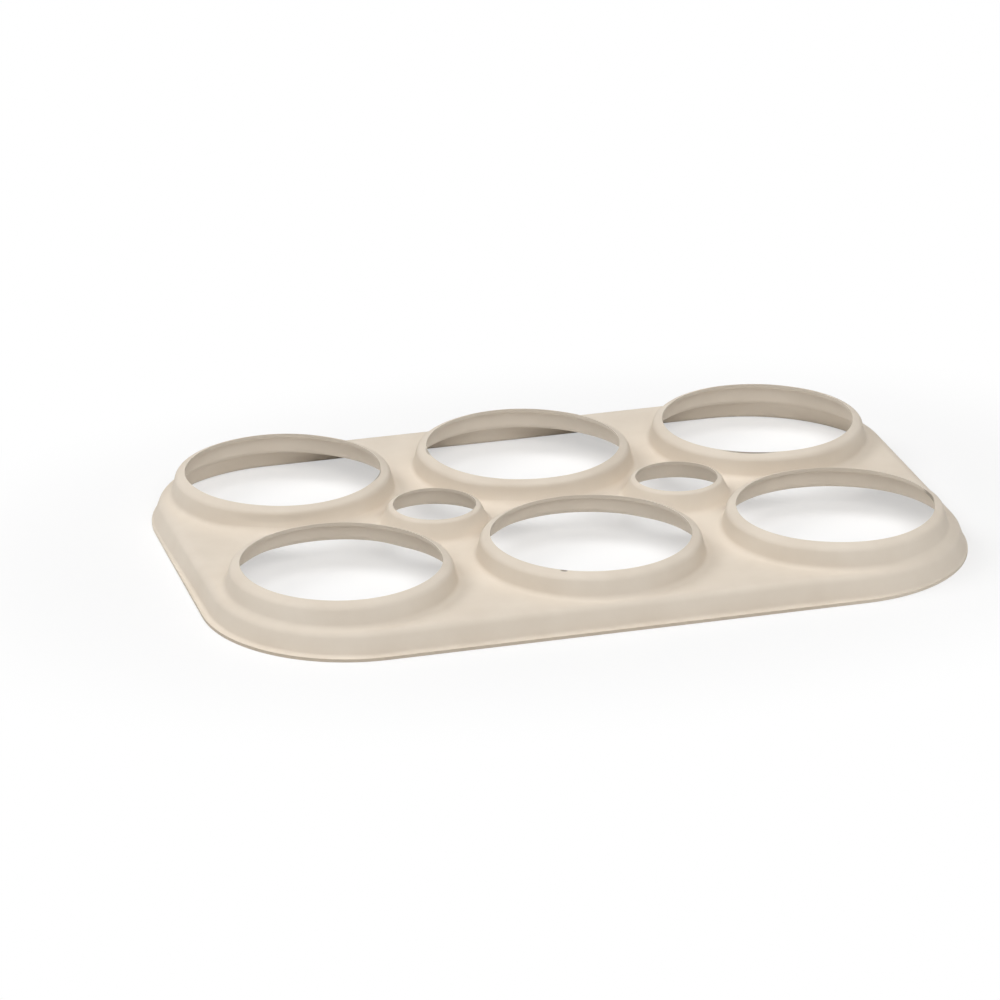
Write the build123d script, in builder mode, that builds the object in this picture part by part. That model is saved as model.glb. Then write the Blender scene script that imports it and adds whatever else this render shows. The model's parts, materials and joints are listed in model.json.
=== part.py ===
from build123d import *
from math import cos, hypot, radians, sqrt, tan
import os

# Can carrier ring: one sheet of moulded paper fibre that grips six drink cans by their necks.
# Every size is in millimetres. The origin is the middle of the carrier on the surface that it
# rests on. +X runs along the row of three cans, and +Z is up.

# Cans: each is held at its neck, under the rolled seam, and stands close to the next one
CANS_LONG = 3
CANS_WIDE = 2
CAN_NECK_RADIUS = 26.2
CAN_SHOULDER = 6.8
CAN_GAP_LONG = 1.0
CAN_GAP_WIDE = 0.2

# Sheet, and the flat plate that lies between the collars
SHEET = 0.9
PLATE_HEIGHT = 6.8

# Every collar has a rim that falls outward, a rounded shoulder, a steep wall and a soft root
RIM_FALL = 22.0
SHOULDER_ROUND = 2.0
ROOT_ROUND = 1.2

# Collar round each can
COLLAR_HEIGHT = 13.2
COLLAR_WIDTH = 3.7
COLLAR_DRAFT = 12.0

# Collar round each finger hole, which fills the space that four can collars leave
FINGER_HEIGHT = 12.3
FINGER_WIDTH = 3.9
FINGER_DRAFT = 14.0
FINGER_FLAT = 0.4

# Border: the plate rounds over into a sloped skirt, which turns out into a narrow foot lip
EDGE_FLAT = 0.15
EDGE_ROUND = 2.3
SKIRT_DRAFT = 15.0
LIP_WIDTH = 1.7
LIP_ROUND = 0.8
CORNER_CUT = 1.4


def round_reach(radius, draft):
    """How far a round reaches along the plate, where the plate meets a wall with this draft."""
    return radius * tan(radians(90 - draft) / 2)


# Grid of cans, and the finger holes in the middle of each four
can_pitch_long = 2 * (CAN_NECK_RADIUS + CAN_SHOULDER) + CAN_GAP_LONG
can_pitch_wide = 2 * (CAN_NECK_RADIUS + CAN_SHOULDER) + CAN_GAP_WIDE
can_grid = GridLocations(can_pitch_long, can_pitch_wide, CANS_LONG, CANS_WIDE)
finger_grid = GridLocations(can_pitch_long, can_pitch_wide, CANS_LONG - 1, CANS_WIDE - 1)

# Radius of each collar where its wall meets the plate
collar_root = CAN_NECK_RADIUS + COLLAR_WIDTH
finger_root = (
    hypot(can_pitch_long, can_pitch_wide) / 2
    - collar_root - round_reach(ROOT_ROUND, COLLAR_DRAFT)
    - FINGER_FLAT - round_reach(ROOT_ROUND, FINGER_DRAFT)
)
finger_hole_radius = finger_root - FINGER_WIDTH

# Foot: how far it reaches past a can's axis along the sides, and by how much less at a corner
edge_margin = round_reach(ROOT_ROUND, COLLAR_DRAFT) + EDGE_FLAT + round_reach(EDGE_ROUND, SKIRT_DRAFT)
foot_reach = collar_root + edge_margin + (PLATE_HEIGHT - SHEET) * tan(radians(SKIRT_DRAFT)) + LIP_WIDTH
corner_radius = foot_reach + CORNER_CUT / (sqrt(2) - 1)
half_length = can_pitch_long * (CANS_LONG - 1) / 2 + foot_reach
half_width = can_pitch_wide * (CANS_WIDE - 1) / 2 + foot_reach


def collar_form(hole_radius, height, root_radius, draft, inset):
    """Solid under a collar's skin, closed over the hole, on its own axis.

    The skin is the sheet's top surface, or its underside where inset is the sheet's thickness.
    """
    fall = tan(radians(RIM_FALL))
    lean = tan(radians(draft))
    top = height - inset / cos(radians(RIM_FALL))
    root = root_radius - inset / cos(radians(draft))
    # the rim's cone and the wall's cone meet at the shoulder
    shoulder = (root - lean * (top - PLATE_HEIGHT + fall * hole_radius)) / (1 - lean * fall)
    # the wall runs on down into the plate by two sheets
    low = PLATE_HEIGHT - 2 * SHEET
    with BuildPart() as form:
        with BuildSketch(Plane.XZ):
            with BuildLine():
                FilletPolyline(
                    (0, top),
                    (hole_radius, top),
                    (shoulder, top - fall * (shoulder - hole_radius)),
                    (root + lean * (PLATE_HEIGHT - low), low),
                    (0, low),
                    radius=[0, SHOULDER_ROUND - inset, 0],
                )
                Line((0, low), (0, top))
            make_face()
        revolve(axis=Axis.Z)
    return form.part


def carrier_form(inset):
    """Solid under the whole carrier's skin, at the sheet's top surface or inset to its underside."""
    can_collar = collar_form(CAN_NECK_RADIUS, COLLAR_HEIGHT, collar_root, COLLAR_DRAFT, inset)
    finger_collar = collar_form(finger_hole_radius, FINGER_HEIGHT, finger_root, FINGER_DRAFT, inset)
    lip_top = SHEET - inset
    pull = LIP_WIDTH + inset / cos(radians(SKIRT_DRAFT)) - inset * tan(radians(SKIRT_DRAFT))
    with BuildPart() as form:
        # drafted block with its upper edge rounded over
        with BuildSketch(Plane.XY.offset(lip_top)):
            RectangleRounded(2 * (half_length - pull), 2 * (half_width - pull), corner_radius - pull)
        extrude(amount=PLATE_HEIGHT - SHEET, taper=SKIRT_DRAFT)
        fillet(form.faces().sort_by(Axis.Z)[-1].edges(), EDGE_ROUND - inset)

        # foot lip, bent out of the skirt
        with BuildSketch(Plane.XY.offset(lip_top)):
            RectangleRounded(2 * half_length, 2 * half_width, corner_radius)
        extrude(amount=-SHEET)
        lip_face = form.faces().filter_by(Plane.XY).sort_by(lambda face: abs(face.center().Z - lip_top))[0]
        fillet(lip_face.inner_wires()[0].edges(), LIP_ROUND + inset)

        # collars, with a soft root where they rise from the plate and the rounded edge
        with can_grid:
            add(can_collar)
        can_roots = form.edges(Select.NEW)
        with finger_grid:
            add(finger_collar)
        finger_roots = form.edges(Select.NEW)
        fillet(can_roots, ROOT_ROUND + inset)
        fillet(finger_roots, ROOT_ROUND + inset)
    return form.part


os.makedirs("parts", exist_ok=True)

top_form = carrier_form(0)
under_form = carrier_form(SHEET)

# The carrier: the sheet between the two forms, with its eight holes punched straight down
with BuildPart() as can_carrier:
    add(top_form)
    add(under_form, mode=Mode.SUBTRACT)
    with can_grid:
        Hole(CAN_NECK_RADIUS)
    with finger_grid:
        Hole(finger_hole_radius)

can_carrier.part.label = "can_carrier"
export_step(can_carrier.part, "parts/can_carrier.step")

size = can_carrier.part.bounding_box().size
print(f"carrier {size.X:.2f} x {size.Y:.2f} x {size.Z:.2f} mm, {can_carrier.part.volume / 1000:.2f} cm3")
print(f"finger hole radius {finger_hole_radius:.2f}, corner radius {corner_radius:.2f}")
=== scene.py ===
import json
from math import atan2, ceil, cos, degrees, hypot, pi, radians, sin, tan

import bpy
import numpy as np
from mathutils import Matrix, Vector
from mathutils.geometry import delaunay_2d_cdt


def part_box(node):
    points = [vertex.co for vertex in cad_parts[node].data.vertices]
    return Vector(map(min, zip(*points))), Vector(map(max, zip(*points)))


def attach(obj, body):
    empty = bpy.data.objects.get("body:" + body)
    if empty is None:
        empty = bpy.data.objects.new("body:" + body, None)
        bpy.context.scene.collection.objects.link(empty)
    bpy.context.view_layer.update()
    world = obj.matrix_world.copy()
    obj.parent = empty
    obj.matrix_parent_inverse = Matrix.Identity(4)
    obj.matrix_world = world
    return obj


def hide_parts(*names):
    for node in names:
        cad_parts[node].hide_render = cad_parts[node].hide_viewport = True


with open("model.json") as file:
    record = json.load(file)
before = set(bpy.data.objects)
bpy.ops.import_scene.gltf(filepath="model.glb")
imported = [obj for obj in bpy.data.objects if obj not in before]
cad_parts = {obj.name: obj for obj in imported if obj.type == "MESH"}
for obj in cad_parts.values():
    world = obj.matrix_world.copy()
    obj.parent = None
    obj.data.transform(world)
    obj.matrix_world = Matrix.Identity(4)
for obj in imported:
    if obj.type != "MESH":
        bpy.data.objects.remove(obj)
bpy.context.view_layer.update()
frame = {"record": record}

# Carrier: one sheet of moulded paper fibre, drawn wet onto a mould, pressed hot and dried, then
# punched. Six collars grip the cans by their necks, and two more ring the finger holes. Its sizes
# are those of the solid, in millimetres, with the collars' walls and roots as soft as they dry.
# Each collar's mesh is made of rings of "around" points, out to the radius "last".
MM = 0.001
SHEET = 0.9
PLATE_HEIGHT = 6.8
RIM_FALL = 22.0
EDGE_ROUND = 2.3
SKIRT_DRAFT = 15.0
LIP_WIDTH = 1.7
LIP_ROUND = 0.8
CORNER_RADIUS = 39.45
CAN = {
    "hole": 26.2, "root": 30.1, "height": 13.2, "draft": 14.0, "shoulder": 2.0, "soft": 1.6,
    "around": 168, "last": 31.2,
}
FINGER = {
    "hole": 10.985, "root": 14.7, "height": 12.3, "draft": 26.0, "shoulder": 1.3, "soft": 2.0,
    "around": 84, "last": 15.8,
}

# Where two cans' collars nearly touch, on the left and in the middle, the fibre bridges the gap
VALLEY = dict(CAN, draft=16.0, shoulder=1.2, soft=3.8)

# How finely the mesh follows the form: degrees of an arc, millimetres along the foot and the plate,
# how far in the border's rings go, and how close a loose point may come to the others
ARC_STEP = 9.0
FOOT_STEP = 1.2
PLATE_STEP = 3.2
BORDER_LAST = 3.3
LINE_GAP = 0.2
PLATE_GAP = 0.55 * PLATE_STEP

# The foot lip is widest along the front on the left. Between two distances from there it narrows,
# until the skirt runs out to the cut edge. A cut edge is drawn darker and browner in colour, and at
# the foot that darkening is also a painted contact shadow where the edge meets the floor. Each value
# here says how much: at the holes, at the foot, and what share is left far off.
FULL_LIP = (-30.0, -70.0)
LIP_NARROWS = (75.0, 122.0)
HOLE_TRIM = 0.15
# the foot's cut edge: partly a browner colour and partly a painted contact shadow along the floor
FOOT_TRIM_AND_SHADOW = 0.6
FAR_SHARE = 0.1

bores = [Vector(m["pos_m"][:2]) / MM for m in frame["record"]["mounts"] if m["kind"] == "bore"]
pitch_long = max(place.x for place in bores)
pitch_wide = 2 * max(place.y for place in bores)
can_places = [(x * pitch_long, y * pitch_wide) for x in (-1, 0, 1) for y in (-0.5, 0.5)]
finger_places = [(x * pitch_long, 0) for x in (-0.5, 0.5)]
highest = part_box("can_carrier")[1]
half_length = highest.x / MM
half_width = highest.y / MM


def section(corners, rounds):
    """Points of a section: straight runs from corner to corner, with an arc at each inner corner."""
    tilts = [-atan2(q[1] - p[1], q[0] - p[0]) for p, q in zip(corners, corners[1:])]
    points = [corners[0]]
    for corner, radius, before, after in zip(corners[1:], rounds, tilts, tilts[1:]):
        out = radius if after < before else -radius
        spread = out / (1 + cos(after - before))
        centre = (
            corner[0] + spread * (sin(before) + sin(after)),
            corner[1] + spread * (cos(before) + cos(after)),
        )
        steps = ceil(degrees(abs(after - before)) / ARC_STEP)
        for tilt in np.linspace(before, after, steps + 1):
            points.append((centre[0] - out * sin(tilt), centre[1] - out * cos(tilt)))
    return np.array(points)


def collar_section(sizes, inset):
    """A collar from its hole's edge out to the plate, on its top, or on its underside at an inset."""
    fall = tan(radians(RIM_FALL))
    draft = radians(sizes["draft"])
    top = sizes["height"] - inset / cos(radians(RIM_FALL))
    root = sizes["root"] - inset / cos(draft)
    shoulder = (root - tan(draft) * (top - PLATE_HEIGHT + fall * sizes["hole"])) / (1 - tan(draft) * fall)
    foot = root + inset * tan(draft)
    corners = [
        (sizes["hole"], top),
        (shoulder, top - fall * (shoulder - sizes["hole"])),
        (foot, PLATE_HEIGHT - inset),
        (foot + 1, PLATE_HEIGHT - inset),
    ]
    return section(corners, (sizes["shoulder"] - inset, sizes["soft"] + inset))


def border_section(inset):
    """The border from the foot lip's outer edge in to the plate, on its top or on its underside."""
    draft = radians(SKIRT_DRAFT)
    bend = LIP_WIDTH + inset / cos(draft) - inset * tan(draft)
    edge = bend + (PLATE_HEIGHT - SHEET) * tan(draft)
    corners = [
        (0, SHEET - inset),
        (bend, SHEET - inset),
        (edge, PLATE_HEIGHT - inset),
        (edge + 1, PLATE_HEIGHT - inset),
    ]
    return section(corners, (LIP_ROUND + inset, EDGE_ROUND - inset))


def foot_ring(inward):
    """A ring that runs round the carrier at a distance in from the foot lip's outer edge."""
    straight = (half_length - CORNER_RADIUS, half_width - CORNER_RADIUS)
    radius = CORNER_RADIUS - inward
    quarter = ceil(CORNER_RADIUS * pi / 2 / FOOT_STEP)
    points = []
    for k, (side_x, side_y) in enumerate(((1, 1), (-1, 1), (-1, -1), (1, -1))):
        for turn in np.linspace(k * pi / 2, (k + 1) * pi / 2, quarter + 1):
            points.append((
                side_x * straight[0] + radius * cos(turn),
                side_y * straight[1] + radius * sin(turn),
            ))
        # the straight run to the next corner
        last_x, last_y = points[-1]
        along = 2 * straight[k % 2]
        runs = ceil(along / FOOT_STEP)
        for j in range(1, runs):
            points.append((last_x - sin(turn) * along * j / runs, last_y + cos(turn) * along * j / runs))
    return points


def circle(place, radius, around):
    """A ring of points round a place."""
    turns = [2 * pi * k / around for k in range(around)]
    return [(place[0] + radius * cos(turn), place[1] + radius * sin(turn)) for turn in turns]


def underneath(spots):
    """Points on the underside, each of them square under a point on the top once it is pressed."""
    spots = np.array(spots)
    shift = np.zeros(spots.shape)
    for sizes, places in ((CAN, can_places), (FINGER, finger_places)):
        top, under = (collar_section(sizes, inset)[:, 0] for inset in (0, SHEET))
        for place in places:
            way = spots - place
            radius = np.hypot(*way.T)
            change = np.where(radius < top[-1], np.interp(radius, top, under) - radius, 0)
            shift += way * (change / np.maximum(radius, 1))[:, None]
    top, under = (border_section(inset)[:, 0] for inset in (0, SHEET))
    past = np.abs(spots) - (half_length - CORNER_RADIUS, half_width - CORNER_RADIUS)
    way = np.maximum(past, 0) * np.sign(spots)
    length = np.hypot(*way.T)
    inward = CORNER_RADIUS - length
    change = np.where(inward < top[-1], np.interp(inward, top, under) - inward, 0)
    return (spots + shift - way * (change / np.maximum(length, 1))[:, None]).tolist()


class Blank:
    """The flat punched sheet before it is pressed: points on its top, and its faces."""

    def __init__(self):
        self.top = []
        self.faces = []
        self.cuts = []

    def place(self, spots):
        """Adds points and returns their numbers."""
        first = len(self.top)
        self.top += spots
        return list(range(first, len(self.top)))

    def band(self, inner, outer):
        """Adds the faces between two rings that turn the same way."""
        self.faces += zip(inner, outer, outer[1:] + outer[:1], inner[1:] + inner[:1])

    def mesh(self):
        """The closed sheet, with a mark on the points of its underside and one on its cut faces, for their
        darker colour and the foot's painted contact shadow.
        """
        below = len(self.top)
        faces = self.faces + [tuple(k + below for k in reversed(face)) for face in self.faces]
        trim_and_contact_shadow = [0.0] * len(faces)
        for ring, shade in self.cuts:
            for a, b in zip(ring, ring[1:] + ring[:1]):
                faces.append((a, b, b + below, a + below))
                trim_and_contact_shadow.append(shade(*self.top[a]))
        flat = bpy.data.meshes.new("flat_sheet")
        flat.from_pydata([(x * MM, y * MM, 0) for x, y in self.top + underneath(self.top)], [], faces)
        mark = flat.attributes.new("underside", "FLOAT", "POINT")
        mark.data.foreach_set("value", [0.0] * below + [1.0] * below)
        # the cut faces' darkening: browner colour, and at the foot also a painted contact shadow
        flat.attributes.new("trim_and_contact_shadow", "FLOAT", "FACE").data.foreach_set("value", trim_and_contact_shadow)
        return flat


blank = Blank()
loops = []
tails = []
for sizes, places in ((CAN, can_places), (FINGER, finger_places)):
    stations = collar_section(sizes, 0)[:, 0]
    banded = [radius for radius in stations if radius < sizes["last"]]
    for place in places:
        rings = [blank.place(circle(place, radius, sizes["around"])) for radius in banded]
        for inner, outer in zip(rings, rings[1:]):
            blank.band(inner, outer)
        blank.cuts.append((rings[0], lambda x, y: HOLE_TRIM))
        loops.append(rings[-1])
        tails += circle(place, stations[-1], sizes["around"])
collar_loops = {k: i for i, loop in enumerate(loops) for k in loop}

# the foot lip, the skirt and the start of the edge's round
stations = border_section(0)[:, 0]
banded = [inward for inward in stations if inward < BORDER_LAST]
rings = [blank.place(foot_ring(inward)) for inward in banded]
for outer, inner in zip(rings, rings[1:]):
    blank.band(inner, outer)
# the foot's cut faces are darkest where the lip is widest: a browner colour and a painted contact shadow
# along the floor
blank.cuts.append((rings[0][::-1], lambda x, y: FOOT_TRIM_AND_SHADOW * np.interp(
    hypot(x - FULL_LIP[0], y - FULL_LIP[1]), LIP_NARROWS, (1, FAR_SHARE)
)))
loops.append(rings[-1])

# loose points: the rest of the edge's round, where the collars' roots meet the plate, and the plate
# itself, each clear of those before it
loose = [(spot, LINE_GAP) for inward in stations[len(banded):] for spot in foot_ring(inward)]
loose += [(spot, LINE_GAP) for spot in tails]
row_step = PLATE_STEP * sin(pi / 3)
rows = int(2 * half_width / row_step) + 1
for row in range(rows):
    y = (row - (rows - 1) / 2) * row_step
    for x in np.arange(-half_length + PLATE_STEP * (0.5 + row % 2 / 2), half_length, PLATE_STEP):
        loose.append(((x, y), PLATE_GAP))
taken = np.array(blank.top + [(0, 0)] * len(loose))
count = len(blank.top)
reach = [(place, CAN["last"]) for place in can_places]
reach += [(place, FINGER["last"]) for place in finger_places]
inner_x, inner_y = (half - BORDER_LAST for half in (half_length, half_width))
inner_radius = CORNER_RADIUS - BORDER_LAST
kept = []
for (x, y), gap in loose:
    if any(hypot(x - px, y - py) < last for (px, py), last in reach):
        continue
    past = (max(abs(x) - inner_x + inner_radius, 0), max(abs(y) - inner_y + inner_radius, 0))
    if hypot(*past) > inner_radius:
        continue
    if np.hypot(*(taken[:count] - (x, y)).T).min() > gap:
        kept.append((x, y))
        taken[count] = (x, y)
        count += 1
joined = blank.place(kept) + sum(loops, [])

# triangles between those points and the rings' last loops, leaving the collars out
number = {k: i for i, k in enumerate(joined)}
edges = [(number[a], number[b]) for loop in loops for a, b in zip(loop, loop[1:] + loop[:1])]
found = delaunay_2d_cdt([Vector(blank.top[k]) for k in joined], edges, [], 0, 1e-6)
for face in found[2]:
    corners = [joined[found[3][k][0]] for k in face]
    if len({collar_loops.get(k, -k - 1) for k in corners}) > 1:
        blank.faces.append(tuple(corners))


def add(tree, kind, inputs=None, **settings):
    """Adds a node with its settings. An input is a value, a node's first output, or any output."""
    node = tree.nodes.new(kind)
    for name, value in settings.items():
        setattr(node, name, value)
    for key, value in (inputs or {}).items():
        if isinstance(value, bpy.types.Node):
            value = value.outputs[0]
        if isinstance(value, bpy.types.NodeSocket):
            tree.links.new(value, node.inputs[key])
        else:
            node.inputs[key].default_value = value
    return node


# The press: it lifts each point of the flat sheet to the height of the mould there, which is the
# border's section, with the sections of the nearest can's collar and finger hole's collar on it.
press = bpy.data.node_groups.new("Press in the mould", "GeometryNodeTree")
press.interface.new_socket("Sheet", in_out="INPUT", socket_type="NodeSocketGeometry")
press.interface.new_socket("Sheet", in_out="OUTPUT", socket_type="NodeSocketGeometry")
press_sizes = {
    "Pitch Long": pitch_long * MM,
    "Pitch Wide": pitch_wide * MM,
    "Half Length": half_length * MM,
    "Half Width": half_width * MM,
    "Corner Radius": CORNER_RADIUS * MM,
    "Plate Height": PLATE_HEIGHT * MM,
    "Collar Rise": (CAN["height"] - PLATE_HEIGHT) * MM,
    "Finger Rise": (FINGER["height"] - PLATE_HEIGHT) * MM,
    "Warp": 0.5 * MM,
    "Warp Width": 45 * MM,
    "Warp Seed": 4.0,
    "Lip Width": LIP_WIDTH * MM,
    "Warp Full At": 9 * MM,
    "Full Lip X": FULL_LIP[0] * MM,
    "Full Lip Y": FULL_LIP[1] * MM,
    "Lip Narrows From": LIP_NARROWS[0] * MM,
    "Lip Narrows To": LIP_NARROWS[1] * MM,
    "Lip Lost": 1.3 * MM,
    "Lip Lost At": 1.45 * MM,
    "Skirt Moves From": 1.9 * MM,
    "Skirt Moves To": 5.0 * MM,
    "Valley Full": 5 * MM,
    "Valley Half Width": 13 * MM,
    "Valley Ends From": 0.0,
    "Valley Ends To": 45 * MM,
}
for name in press_sizes:
    press.interface.new_socket(name, in_out="INPUT", socket_type="NodeSocketFloat")
press.interface.new_socket("Fibre", in_out="INPUT", socket_type="NodeSocketMaterial")
given = add(press, "NodeGroupInput").outputs
underside = add(press, "GeometryNodeInputNamedAttribute", {"Name": "underside"}, data_type="FLOAT")
position = add(press, "GeometryNodeInputPosition")
x, y, _ = add(press, "ShaderNodeSeparateXYZ", {0: position}).outputs
x_size = add(press, "ShaderNodeMath", {0: x}, operation="ABSOLUTE")
y_size = add(press, "ShaderNodeMath", {0: y}, operation="ABSOLUTE")


def pressed(distance, top, under, rise):
    """Adds nodes that turn a distance into a height, by the section of the side that a point is on."""
    span = top[-1][0] - top[0][0]
    share = add(press, "ShaderNodeMapRange", {
        "Value": distance,
        "From Min": float(top[0][0]) * MM,
        "From Max": float(top[-1][0]) * MM,
    })
    sides = []
    for line in (top, under):
        curve = add(press, "ShaderNodeFloatCurve", {"Value": share})
        heights = line[:, 1] / top[:, 1].max()
        drawn = curve.mapping.curves[0].points
        drawn[0].location = (0, heights[0])
        drawn[1].location = (1, heights[-1])
        for along, height in zip(line[1:-1, 0] - line[0][0], heights[1:-1]):
            drawn.new(along / span, height)
        for point in drawn:
            point.handle_type = "VECTOR"
        curve.mapping.update()
        sides.append(curve)
    side = add(press, "GeometryNodeSwitch", {0: underside, 1: sides[0], 2: sides[1]}, input_type="FLOAT")
    return add(press, "ShaderNodeMath", {0: side, 1: rise}, operation="MULTIPLY")


half_pitch_long = add(press, "ShaderNodeMath", {0: given["Pitch Long"], 1: 0.5}, operation="MULTIPLY")
half_pitch_wide = add(press, "ShaderNodeMath", {0: given["Pitch Wide"], 1: 0.5}, operation="MULTIPLY")
minus_half = add(press, "ShaderNodeMath", {0: half_pitch_long, 1: -1.0}, operation="MULTIPLY")
from_can = add(press, "ShaderNodeCombineXYZ", {
    0: add(press, "ShaderNodeMath", {0: x, 1: half_pitch_long, 2: minus_half}, operation="WRAP"),
    1: add(press, "ShaderNodeMath", {0: y_size, 1: half_pitch_wide}, operation="SUBTRACT"),
})
from_finger = add(press, "ShaderNodeCombineXYZ", {
    0: add(press, "ShaderNodeMath", {0: x_size, 1: half_pitch_long}, operation="SUBTRACT"),
    1: y,
})
collars = []
for sizes, way, rise in (
    (CAN, from_can, "Collar Rise"), (VALLEY, from_can, "Collar Rise"), (FINGER, from_finger, "Finger Rise"),
):
    radius = add(press, "ShaderNodeVectorMath", {0: way}, operation="LENGTH").outputs["Value"]
    top, under = (collar_section(sizes, inset) - (0, PLATE_HEIGHT - inset) for inset in (0, SHEET))
    collars.append(pressed(radius, top, under, given[rise]))
can_height, bridged_height, finger_height = collars
in_valley = add(press, "ShaderNodeMath", {
    0: add(press, "ShaderNodeMapRange", {
        "Value": y_size,
        "From Min": given["Valley Full"],
        "From Max": given["Valley Half Width"],
        "To Min": 1.0,
        "To Max": 0.0,
    }, interpolation_type="SMOOTHSTEP"),
    1: add(press, "ShaderNodeMapRange", {
        "Value": x,
        "From Min": given["Valley Ends From"],
        "From Max": given["Valley Ends To"],
        "To Min": 1.0,
        "To Max": 0.0,
    }, interpolation_type="SMOOTHSTEP"),
}, operation="MULTIPLY")
can_height = add(press, "ShaderNodeMix", {0: in_valley, 2: can_height, 3: bridged_height})

# how far a point lies past the corner's centre along each axis, and from that how far it lies in
# from the foot lip's outer edge
past = []
for size, half in ((x_size, given["Half Length"]), (y_size, given["Half Width"])):
    centre = add(press, "ShaderNodeMath", {0: half, 1: given["Corner Radius"]}, operation="SUBTRACT")
    past.append(add(press, "ShaderNodeMath", {0: size, 1: centre}, operation="SUBTRACT"))
past_x, past_y = past
beyond_x, beyond_y = (
    add(press, "ShaderNodeMath", {0: node, 1: 0.0}, operation="MAXIMUM") for node in past
)
past_corner = add(press, "ShaderNodeVectorMath", {
    0: add(press, "ShaderNodeCombineXYZ", {0: beyond_x, 1: beyond_y}),
}, operation="LENGTH").outputs["Value"]
past_side = add(press, "ShaderNodeMath", {
    0: add(press, "ShaderNodeMath", {0: past_x, 1: past_y}, operation="MAXIMUM"),
    1: 0.0,
}, operation="MINIMUM")
inward = add(press, "ShaderNodeMath", {
    0: add(press, "ShaderNodeMath", {0: given["Corner Radius"], 1: past_corner}, operation="SUBTRACT"),
    1: past_side,
}, operation="SUBTRACT")
border_height = pressed(inward, border_section(0), border_section(SHEET), given["Plate Height"])

# a pressed sheet dries a little out of true, though it still lies flat on its foot lip
noise = add(press, "ShaderNodeTexNoise", {
    "Vector": add(press, "ShaderNodeVectorMath", {
        0: add(press, "ShaderNodeCombineXYZ", {0: x, 1: y}),
        3: add(press, "ShaderNodeMath", {0: 1.0, 1: given["Warp Width"]}, operation="DIVIDE"),
    }, operation="SCALE"),
    "W": given["Warp Seed"],
    "Scale": 1.0,
    "Detail": 1.0,
}, noise_dimensions="4D")
swing = add(press, "ShaderNodeVectorMath", {
    0: add(press, "ShaderNodeVectorMath", {
        0: noise.outputs["Color"], 1: (0.5, 0.5, 0.5),
    }, operation="SUBTRACT"),
    3: add(press, "ShaderNodeMath", {0: given["Warp"], 1: 2.0}, operation="MULTIPLY"),
}, operation="SCALE")
lifted = add(press, "ShaderNodeMapRange", {
    "Value": inward, "From Min": given["Lip Width"], "From Max": given["Warp Full At"],
}, interpolation_type="SMOOTHSTEP")
warp = add(press, "ShaderNodeVectorMath", {0: swing, 3: lifted}, operation="SCALE")

# the foot lip is at its widest at the front, and further off the skirt runs out to the cut edge
full_lip = add(press, "ShaderNodeCombineXYZ", {0: given["Full Lip X"], 1: given["Full Lip Y"]})
from_full = add(press, "ShaderNodeVectorMath", {0: position, 1: full_lip}, operation="DISTANCE")
lost = add(press, "ShaderNodeMapRange", {
    "Value": from_full.outputs["Value"],
    "From Min": given["Lip Narrows From"],
    "From Max": given["Lip Narrows To"],
    "To Max": given["Lip Lost"],
}, interpolation_type="SMOOTHSTEP")
on_lip = add(press, "ShaderNodeMapRange", {
    "Value": inward, "From Min": 0.0, "From Max": given["Lip Lost At"],
})
on_skirt = add(press, "ShaderNodeMapRange", {
    "Value": inward,
    "From Min": given["Skirt Moves From"],
    "From Max": given["Skirt Moves To"],
    "To Min": 1.0,
    "To Max": 0.0,
})
outward = add(press, "ShaderNodeVectorMath", {
    0: add(press, "ShaderNodeVectorMath", {
        0: add(press, "ShaderNodeCombineXYZ", {0: beyond_x, 1: beyond_y}),
        1: add(press, "ShaderNodeVectorMath", {0: position}, operation="SIGN"),
    }, operation="MULTIPLY"),
}, operation="NORMALIZE")
spread = add(press, "ShaderNodeVectorMath", {
    0: outward,
    3: add(press, "ShaderNodeMath", {
        0: lost, 1: add(press, "ShaderNodeMath", {0: on_lip, 1: on_skirt}, operation="MULTIPLY"),
    }, operation="MULTIPLY"),
}, operation="SCALE")
height = add(press, "ShaderNodeMath", {
    0: add(press, "ShaderNodeMath", {0: can_height, 1: finger_height}, operation="ADD"),
    1: border_height,
}, operation="ADD")
moved = add(press, "GeometryNodeSetPosition", {
    "Geometry": given["Sheet"],
    "Offset": add(press, "ShaderNodeVectorMath", {
        0: add(press, "ShaderNodeVectorMath", {0: warp, 1: spread}, operation="ADD"),
        1: add(press, "ShaderNodeCombineXYZ", {2: height}),
    }, operation="ADD"),
})
smooth = add(press, "GeometryNodeSetShadeSmooth", {"Geometry": moved})
real = add(press, "GeometryNodeRealizeInstances", {"Geometry": smooth})
finished = add(press, "GeometryNodeSetMaterial", {"Geometry": real, "Material": given["Fibre"]})
add(press, "NodeGroupOutput", {"Sheet": finished})


def colour(code):
    """An sRGB hex code as a linear colour."""
    parts = [int(code[k:k + 2], 16) / 255 for k in (1, 3, 5)]
    return (*(c / 12.92 if c <= 0.04045 else ((c + 0.055) / 1.055) ** 2.4 for c in parts), 1.0)


# Moulded paper fibre, unbleached and hot pressed: matt and even, with soft clouds where the wet
# fibre settled thicker or thinner, and a fine felted grain. A paper fibre is thinner than a pixel,
# so the grain is drawn as coarse as a clump of fibres. Cut edges are drawn browner, and the foot's
# cut edge darker still as a painted contact shadow along the floor, by the cut faces' attribute.
fibre = bpy.data.materials.new("hot_pressed_paper_fibre")
fibre.use_nodes = True
tree = fibre.node_tree
shader = tree.nodes["Principled BSDF"]
where = add(tree, "ShaderNodeTexCoord").outputs["Object"]
CLOUD = 14.0
GRAIN = 0.9
GRAIN_DEPTH = 0.05
clouds = add(tree, "ShaderNodeTexNoise", {"Vector": where, "Scale": 1 / (CLOUD * MM), "Detail": 3.0})
grain = add(tree, "ShaderNodeTexNoise", {"Vector": where, "Scale": 1 / (GRAIN * MM), "Detail": 3.0})
tone = add(tree, "ShaderNodeValToRGB", {"Fac": clouds})
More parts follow.
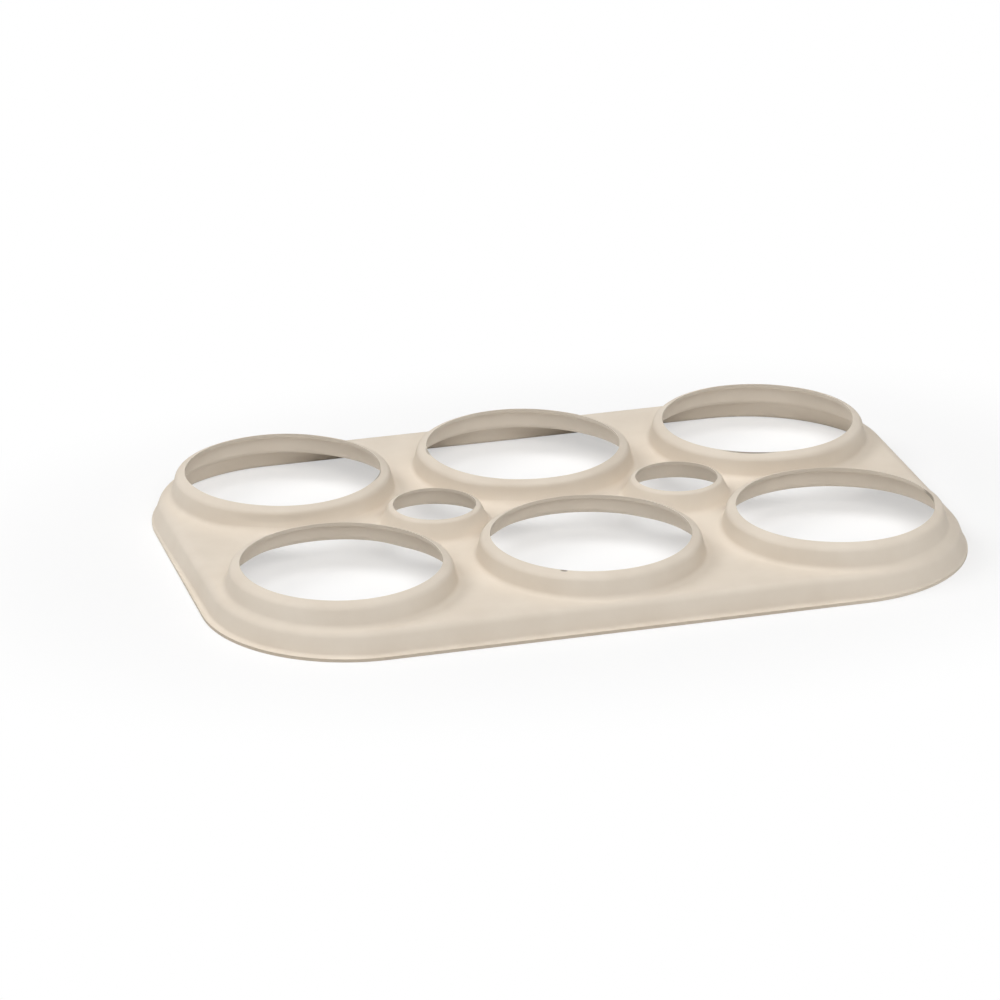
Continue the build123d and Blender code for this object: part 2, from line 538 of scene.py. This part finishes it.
for stop, (at, code) in zip(tone.color_ramp.elements, ((0.3, "#DED2C2"), (0.7, "#E5DACB"))):
    stop.position = at
    stop.color = colour(code)
# the cut faces' darkening: a browner edge colour, and at the foot a painted contact shadow
trim_and_contact_shadow = add(tree, "ShaderNodeAttribute", attribute_name="trim_and_contact_shadow").outputs["Fac"]
body = add(tree, "ShaderNodeMix", {0: trim_and_contact_shadow, 6: tone, 7: colour("#AFA08C")}, data_type="RGBA")

# Small dark marks painted on the collars, each on one can's collar: a dark speck at one hole's edge,
# darkened stretches of holes' edges that are painted shade there, one of them a painted shadow where
# the sheet meets the floor that goes on round to the underside, and painted shade in a crease under
# the shoulder. Each is a place on the grid of cans, a bearing from its axis in degrees, a radius, a
# length round the collar and a width in mm, how dark it is, and whether it goes on round the hole's
# edge to the underside.
PAINTED_SHADE_MARKS = (
    ((0, -0.5), 238.5, 26.5, 2.6, 0.9, 0.75, False),
    ((1, 0.5), 247.0, 26.3, 18.0, 1.3, 0.75, False),
    ((-1, 0.5), 334.0, 26.3, 12.0, 1.0, 0.6, False),
    ((0, 0.5), 176.0, 26.3, 7.0, 1.0, 0.5, False),
    ((1, -0.5), 358.0, 26.2, 11.0, 1.0, 0.6, True),
    ((-1, 0.5), 252.0, 28.9, 26.0, 0.9, 0.07, False),
)
below = add(tree, "ShaderNodeAttribute", attribute_name="underside").outputs["Fac"]
for (step_x, step_y), bearing, radius, length, width, dark, both_sides in PAINTED_SHADE_MARKS:
    from_axis = add(tree, "ShaderNodeVectorMath", {
        0: where, 1: (step_x * pitch_long * MM, step_y * pitch_wide * MM, 0),
    }, operation="SUBTRACT")
    turned = add(tree, "ShaderNodeVectorRotate", {
        0: from_axis, 3: -radians(bearing),
    }, rotation_type="Z_AXIS")
    ahead, aside, _ = add(tree, "ShaderNodeSeparateXYZ", {0: turned}).outputs
    from_mark = add(tree, "ShaderNodeMath", {0: aside, 1: ahead}, operation="ARCTAN2")
    from_centre = add(tree, "ShaderNodeVectorMath", {
        0: add(tree, "ShaderNodeCombineXYZ", {0: ahead, 1: aside}),
    }, operation="LENGTH").outputs["Value"]
    # off is 1 on the ellipse that the mark's length and width give, and 0 in its middle
    off = add(tree, "ShaderNodeVectorMath", {0: add(tree, "ShaderNodeCombineXYZ", {
        0: add(tree, "ShaderNodeMath", {0: from_mark, 1: 2 * radius / length}, operation="MULTIPLY"),
        1: add(tree, "ShaderNodeMath", {
            0: from_centre, 1: 2 / (width * MM), 2: -2 * radius / width,
        }, operation="MULTIPLY_ADD"),
    })}, operation="LENGTH").outputs["Value"]
    mark = add(tree, "ShaderNodeMapRange", {
        "Value": off, "From Min": 0.4, "From Max": 1.0, "To Min": dark, "To Max": 0.0,
    }, interpolation_type="SMOOTHSTEP")
    if not both_sides:
        mark = add(tree, "ShaderNodeMix", {0: below, 2: mark, 3: 0.0})
    # each mark darkens the fibre's colour toward #6E6558: painted shade at a hole's edge or in the crease
    body = add(tree, "ShaderNodeMix", {0: mark, 6: body.outputs[2], 7: colour("#6E6558")}, data_type="RGBA")
tree.links.new(body.outputs[2], shader.inputs["Base Color"])
shader.inputs["Roughness"].default_value = 0.85
shader.inputs["IOR"].default_value = 1.47
bump = add(tree, "ShaderNodeBump", {"Height": grain, "Strength": 0.25, "Distance": GRAIN_DEPTH * MM})
tree.links.new(bump.outputs[0], shader.inputs["Normal"])

# the blank is pressed, and its cut edges are rounded where the punch has left them soft
CUT_ROUND = 0.14
CUT_ANGLE = 60.0
flat = bpy.data.objects.new("flat_sheet", blank.mesh())
bpy.context.scene.collection.objects.link(flat)
pressing = flat.modifiers.new("press", "NODES")
pressing.node_group = press
for item in press.interface.items_tree:
    if item.in_out == "INPUT" and item.name in press_sizes:
        pressing[item.identifier] = press_sizes[item.name]
    if item.name == "Fibre":
        pressing[item.identifier] = fibre
softened = flat.modifiers.new("cut edges", "BEVEL")
softened.width = CUT_ROUND * MM
softened.segments = 2
softened.angle_limit = radians(CUT_ANGLE)
softened.harden_normals = True
evaluated = flat.evaluated_get(bpy.context.evaluated_depsgraph_get())
carrier = bpy.data.objects.new("carrier", bpy.data.meshes.new_from_object(evaluated))
bpy.context.scene.collection.objects.link(carrier)
bpy.data.objects.remove(flat)
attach(carrier, "root")
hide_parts("can_carrier")

# Floor: a plain white table, painted matt. The camera sees a share of it as plain white, and all of
# it further off, so that the carrier's shadow is soft and fades out into a white background. The
# distances run along the carrier's length, and are shorter across it by its own proportions.
FLOOR_HALF = 3000.0
WHITE_SHARE = 0.5
WHITE_FROM = 112.0
WHITE_AT = 200.0
floor = bpy.data.objects.new("floor", bpy.data.meshes.new("floor"))
corners = [(x * FLOOR_HALF * MM, y * FLOOR_HALF * MM, 0) for x, y in ((-1, -1), (1, -1), (1, 1), (-1, 1))]
floor.data.from_pydata(corners, [], [(0, 1, 2, 3)])
bpy.context.scene.collection.objects.link(floor)


def seen_rays(tree):
    """Adds nodes that give 1 where the camera looks, also by a reflection or through glass."""
    rays = add(tree, "ShaderNodeLightPath").outputs
    looks = add(tree, "ShaderNodeMath", {
        0: rays["Is Camera Ray"], 1: rays["Is Glossy Ray"],
    }, operation="MAXIMUM")
    return add(tree, "ShaderNodeMath", {0: looks, 1: rays["Is Transmission Ray"]}, operation="MAXIMUM")


table = bpy.data.materials.new("matt_white_paint")
table.use_nodes = True
tree = table.node_tree
tree.nodes.clear()
along = add(tree, "ShaderNodeMapping", {
    "Vector": add(tree, "ShaderNodeTexCoord").outputs["Object"], "Scale": (1, half_length / half_width, 1),
})
away = add(tree, "ShaderNodeMapRange", {
    "Value": add(tree, "ShaderNodeVectorMath", {0: along}, operation="LENGTH").outputs["Value"],
    "From Min": WHITE_FROM * MM,
    "From Max": WHITE_AT * MM,
    "To Min": WHITE_SHARE,
    "To Max": 1.0,
}, interpolation_type="SMOOTHSTEP")
add(tree, "ShaderNodeOutputMaterial", {
    "Surface": add(tree, "ShaderNodeMixShader", {
        0: add(tree, "ShaderNodeMath", {0: seen_rays(tree), 1: away}, operation="MULTIPLY"),
        1: add(tree, "ShaderNodeBsdfDiffuse", {"Color": colour("#FBFBFB")}),
        2: add(tree, "ShaderNodeEmission", {"Color": colour("#FFFFFF")}),
    }),
})
floor.data.materials.append(table)

# Light: a dim white room, and large soft lamps overhead, in front, on the right, and at the back on
# the left, each with its bearing and height in degrees and its power in watts. All are round, of
# one size, and at one distance, in metres.
ROOM_STRENGTH = 0.035
LAMP_SIZE = 1.7
LAMP_DISTANCE = 3.0
LAMPS = {
    "overhead": (0, 90, 30.5),
    "front": (270, 43, 35.0),
    "right": (315, 50, 6.0),
    "back_left": (156, 45, 36.0),
}
world = bpy.data.worlds.new("white_room")
bpy.context.scene.world = world
world.use_nodes = True
tree = world.node_tree
tree.nodes.clear()
strength = add(tree, "ShaderNodeMapRange", {
    "Value": seen_rays(tree), "To Min": ROOM_STRENGTH, "To Max": 1.0,
})
room = add(tree, "ShaderNodeBackground", {"Color": colour("#FFFFFF"), "Strength": strength})
add(tree, "ShaderNodeOutputWorld", {"Surface": room})
for name, (azimuth, elevation, watts) in LAMPS.items():
    lamp = bpy.data.objects.new(name + "_lamp", bpy.data.lights.new(name + "_lamp", "AREA"))
    bpy.context.scene.collection.objects.link(lamp)
    way = Vector((
        cos(radians(azimuth)) * cos(radians(elevation)),
        sin(radians(azimuth)) * cos(radians(elevation)),
        sin(radians(elevation)),
    ))
    lamp.location = way * LAMP_DISTANCE
    lamp.rotation_euler = way.to_track_quat("Z", "Y").to_euler()
    lamp.data.shape = "DISK"
    lamp.data.size = LAMP_SIZE
    lamp.data.energy = watts

# Camera, as solved from the photograph: its turn round the carrier, its pitch and roll in degrees,
# its distance and the point that it looks at in millimetres, its lens on a 36 mm frame, and how far
# it sees in metres
CAMERA_TURN = 15.173
CAMERA_PITCH = 21.993
CAMERA_ROLL = -0.57
CAMERA_DISTANCE = 1369.2
CAMERA_LENS = 184.6
AIM_RIGHT = -15.05
AIM_UP = 8.64
CAMERA_REACH = 20.0
turn, pitch, roll = (radians(a) for a in (CAMERA_TURN, CAMERA_PITCH, CAMERA_ROLL))
ahead = Vector((sin(turn) * cos(pitch), cos(turn) * cos(pitch), -sin(pitch)))
level = Vector((cos(turn), -sin(turn), 0))
upright = level.cross(ahead)
right = level * cos(roll) + upright * sin(roll)
up = upright * cos(roll) - level * sin(roll)
camera = bpy.data.objects.new("camera", bpy.data.cameras.new("camera"))
bpy.context.scene.collection.objects.link(camera)
bpy.context.scene.camera = camera
camera.data.lens = CAMERA_LENS
camera.data.clip_end = CAMERA_REACH
eye = (right * AIM_RIGHT + up * AIM_UP - ahead * CAMERA_DISTANCE) * MM
camera.matrix_world = Matrix.Translation(eye) @ Matrix((right, up, -ahead)).transposed().to_4x4()

bpy.context.scene.view_settings.view_transform = "Standard"
